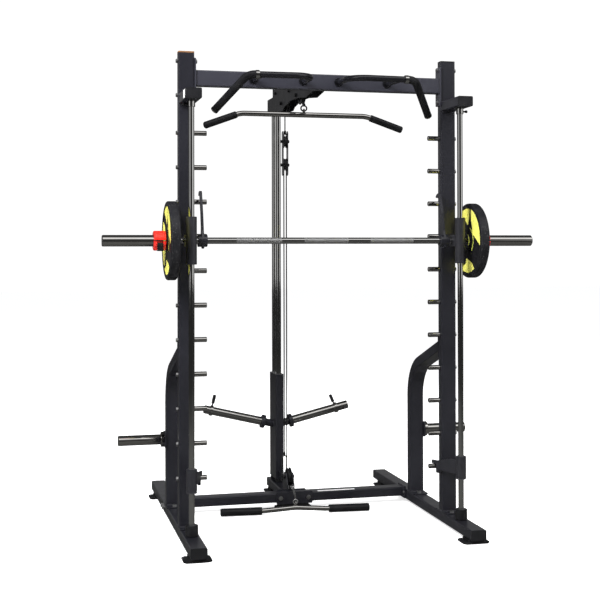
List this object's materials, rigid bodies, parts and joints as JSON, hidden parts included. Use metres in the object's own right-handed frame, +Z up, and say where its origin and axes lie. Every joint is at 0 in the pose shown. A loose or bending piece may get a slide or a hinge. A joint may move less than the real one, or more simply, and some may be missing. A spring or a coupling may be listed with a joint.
{
  "type": "smith machine",
  "caption": "Smith machine with a guided bar on vertical rods, catch pegs, safety stoppers, chin-up handles, storage horns and a plate-loaded high and low pulley tower.",
  "frame": {"origin": "on the floor under the middle of the machine's bounding box", "axes": "+Z up, +X to the right of a user facing the machine, +Y to the rear, away from the user"},
  "size_m": [1.944, 1.397, 2.128],
  "materials": {
    "frame": "satin charcoal powder coat",
    "chrome": "polished chrome plate",
    "steel": "zinc plated fasteners",
    "rubber": "black moulded rubber",
    "grip": "soft black hand grip",
    "plastic": "black nylon moulding",
    "nylon": "black nylon bush",
    "plate": "rubber-coated weight disc",
    "insert": "yellow printed insert",
    "clamp": "red anodised clamp",
    "cable": "nylon-coated steel cable",
    "bright": "bright zinc plate steel"
  },
  "bodies": {
    "frame": {"base_rail_left": "frame", "base_rail_right": "frame", "end_caps": "plastic", "foot_pads": "rubber", "upright_left": "frame", "upright_right": "frame", "brace_left": "frame", "brace_right": "frame", "storage_horns": "chrome", "cross_member": "frame", "top_crossbar": "frame", "chin_handles": "frame", "chin_grips": "grip", "chrome_rings": "chrome", "bar_catch_pegs": "chrome", "frame_bolts": "steel", "rod_brackets": "frame", "guide_rods": "chrome", "tower_base": "frame", "tower_rods": "chrome", "tower_top_bracket": "frame", "floating_block": "bright", "lat_cable": "cable", "lift_cable_low": "cable", "lift_cable_run": "cable"},
    "top_pulley_front": {"top_pulley_front": "plastic"},
    "top_pulley_rear": {"top_pulley_rear": "plastic"},
    "low_pulley": {"low_pulley": "plastic"},
    "block_pulley_lower": {"block_pulley_lower": "plastic"},
    "block_pulley_upper": {"block_pulley_upper": "plastic"},
    "weight_carriage": {"weight_carriage": "frame", "carriage_bushes": "nylon", "carriage_horns": "chrome", "snap_link": "chrome"},
    "horn_clip_left": {"horn_clip_left": "plastic"},
    "horn_clip_right": {"horn_clip_right": "plastic"},
    "bar_carriage": {"slide_housings": "plastic", "linear_bushings": "nylon"},
    "bar": {"bar_shaft": "chrome", "bar_hooks": "frame"},
    "sleeve_left": {"sleeve_left": "chrome"},
    "sleeve_right": {"sleeve_right": "chrome"},
    "plate_left": {"plate_left": "plate", "plate_inserts_left": "insert"},
    "plate_right": {"plate_right": "plate", "plate_inserts_right": "insert"},
    "clamp_left": {"clamp_collar_left": "clamp"},
    "clamp_right": {"clamp_collar_right": "clamp"},
    "lever_left": {"clamp_lever_left": "plastic"},
    "lever_right": {"clamp_lever_right": "plastic"},
    "stopper_core_left": {"stopper_core_left": "nylon"},
    "stopper_core_right": {"stopper_core_right": "nylon"},
    "stopper_left": {"safety_stopper_left": "plastic"},
    "stopper_right": {"safety_stopper_right": "plastic"},
    "lat_hook": {"lat_hook": "chrome"},
    "lat_bar": {"lat_bar": "chrome", "lat_bar_grips": "grip"},
    "low_hook": {"low_hook": "chrome"},
    "low_bar": {"low_bar": "chrome", "low_bar_grips": "grip"}
  },
  "joints": [
    {"name": "top_front_spin", "type": "hinge", "parent": "frame", "child": "top_pulley_front", "pos_m": [0, 0.002, 2], "axis": [1, 0, 0], "continuous": true},
    {"name": "top_rear_spin", "type": "hinge", "parent": "frame", "child": "top_pulley_rear", "pos_m": [0, 0.322, 2], "axis": [1, 0, 0], "continuous": true},
    {"name": "low_spin", "type": "hinge", "parent": "frame", "child": "low_pulley", "pos_m": [0, 0.294, 0.131], "axis": [1, 0, 0], "continuous": true},
    {"name": "block_lower_spin", "type": "hinge", "parent": "frame", "child": "block_pulley_lower", "pos_m": [0, 0.36, 1.693], "axis": [1, 0, 0], "continuous": true},
    {"name": "block_upper_spin", "type": "hinge", "parent": "frame", "child": "block_pulley_upper", "pos_m": [0, 0.36, 1.812], "axis": [1, 0, 0], "continuous": true},
    {"name": "carriage_rise", "type": "slide", "parent": "frame", "child": "weight_carriage", "axis": [0, 0, 1], "range_m": [0, 1.2], "deforming": ["lift_cable_run"]},
    {"name": "horn_clip_left_slide", "type": "slide", "parent": "weight_carriage", "child": "horn_clip_left", "axis": [-0.9724, 0, 0.2334], "range_m": [-0.24, 0.025]},
    {"name": "horn_clip_right_slide", "type": "slide", "parent": "weight_carriage", "child": "horn_clip_right", "axis": [0.9724, 0, 0.2334], "range_m": [-0.22, 0.025]},
    {"name": "bar_slide", "type": "slide", "parent": "frame", "child": "bar_carriage", "axis": [0, 0, 1], "range_m": [-0.75, 0.3]},
    {"name": "bar_twist", "type": "hinge", "parent": "bar_carriage", "child": "bar", "pos_m": [0, -0.436, 1.304], "axis": [1, 0, 0], "range_deg": [-12.5, 50]},
    {"name": "sleeve_left_spin", "type": "hinge", "parent": "bar", "child": "sleeve_left", "pos_m": [-0.81, -0.436, 1.304], "axis": [-1, 0, 0], "continuous": true},
    {"name": "plate_left_slide", "type": "slide", "parent": "sleeve_left", "child": "plate_left", "axis": [-1, 0, 0], "range_m": [0, 0.22]},
    {"name": "clamp_left_slide", "type": "slide", "parent": "sleeve_left", "child": "clamp_left", "axis": [-1, 0, 0], "range_m": [0, 0.22]},
    {"name": "lever_left_flip", "type": "hinge", "parent": "clamp_left", "child": "lever_left", "pos_m": [-0.731, -0.472, 1.291], "axis": [1, 0, 0], "range_deg": [-75, 0]},
    {"name": "stopper_left_slide", "type": "slide", "parent": "frame", "child": "stopper_core_left", "axis": [0, 0, 1], "range_m": [0, 0.085]},
    {"name": "stopper_left_swing", "type": "hinge", "parent": "stopper_core_left", "child": "stopper_left", "pos_m": [-0.603, -0.496, 0.296], "axis": [0, 0, -1], "range_deg": [0, 80]},
    {"name": "sleeve_right_spin", "type": "hinge", "parent": "bar", "child": "sleeve_right", "pos_m": [0.81, -0.436, 1.304], "axis": [1, 0, 0], "continuous": true},
    {"name": "plate_right_slide", "type": "slide", "parent": "sleeve_right", "child": "plate_right", "axis": [1, 0, 0], "range_m": [0, 0.22]},
    {"name": "clamp_right_slide", "type": "slide", "parent": "sleeve_right", "child": "clamp_right", "axis": [1, 0, 0], "range_m": [0, 0.22]},
    {"name": "lever_right_flip", "type": "hinge", "parent": "clamp_right", "child": "lever_right", "pos_m": [0.731, -0.472, 1.291], "axis": [1, 0, 0], "range_deg": [-75, 0]},
    {"name": "stopper_right_slide", "type": "slide", "parent": "frame", "child": "stopper_core_right", "axis": [0, 0, 1], "range_m": [0, 0.085]},
    {"name": "stopper_right_swing", "type": "hinge", "parent": "stopper_core_right", "child": "stopper_right", "pos_m": [0.603, -0.496, 0.296], "axis": [0, 0, 1], "range_deg": [0, 80]},
    {"name": "lat_hook_turn", "type": "hinge", "parent": "frame", "child": "lat_hook", "pos_m": [0, -0.036, 1.951], "axis": [0, 0, 1], "range_deg": [-70, 70]},
    {"name": "lat_bar_swing", "type": "hinge", "parent": "lat_hook", "child": "lat_bar", "pos_m": [0, -0.036, 1.921], "axis": [1, 0, 0], "range_deg": [-30, 30]},
    {"name": "low_hook_lift", "type": "hinge", "parent": "frame", "child": "low_hook", "pos_m": [0, 0.2305, 0.093], "axis": [1, 0, 0], "range_deg": [-70, 0]},
    {"name": "low_bar_turn", "type": "hinge", "parent": "low_hook", "child": "low_bar", "pos_m": [-0.021, 0.062, 0.046], "axis": [0, 0, 1], "range_deg": [-9, 12]}
  ],
  "couplings": [
    {"joint": "clamp_left_slide", "follows": "plate_left_slide", "ratio": 1},
    {"joint": "clamp_right_slide", "follows": "plate_right_slide", "ratio": 1}
  ]
}
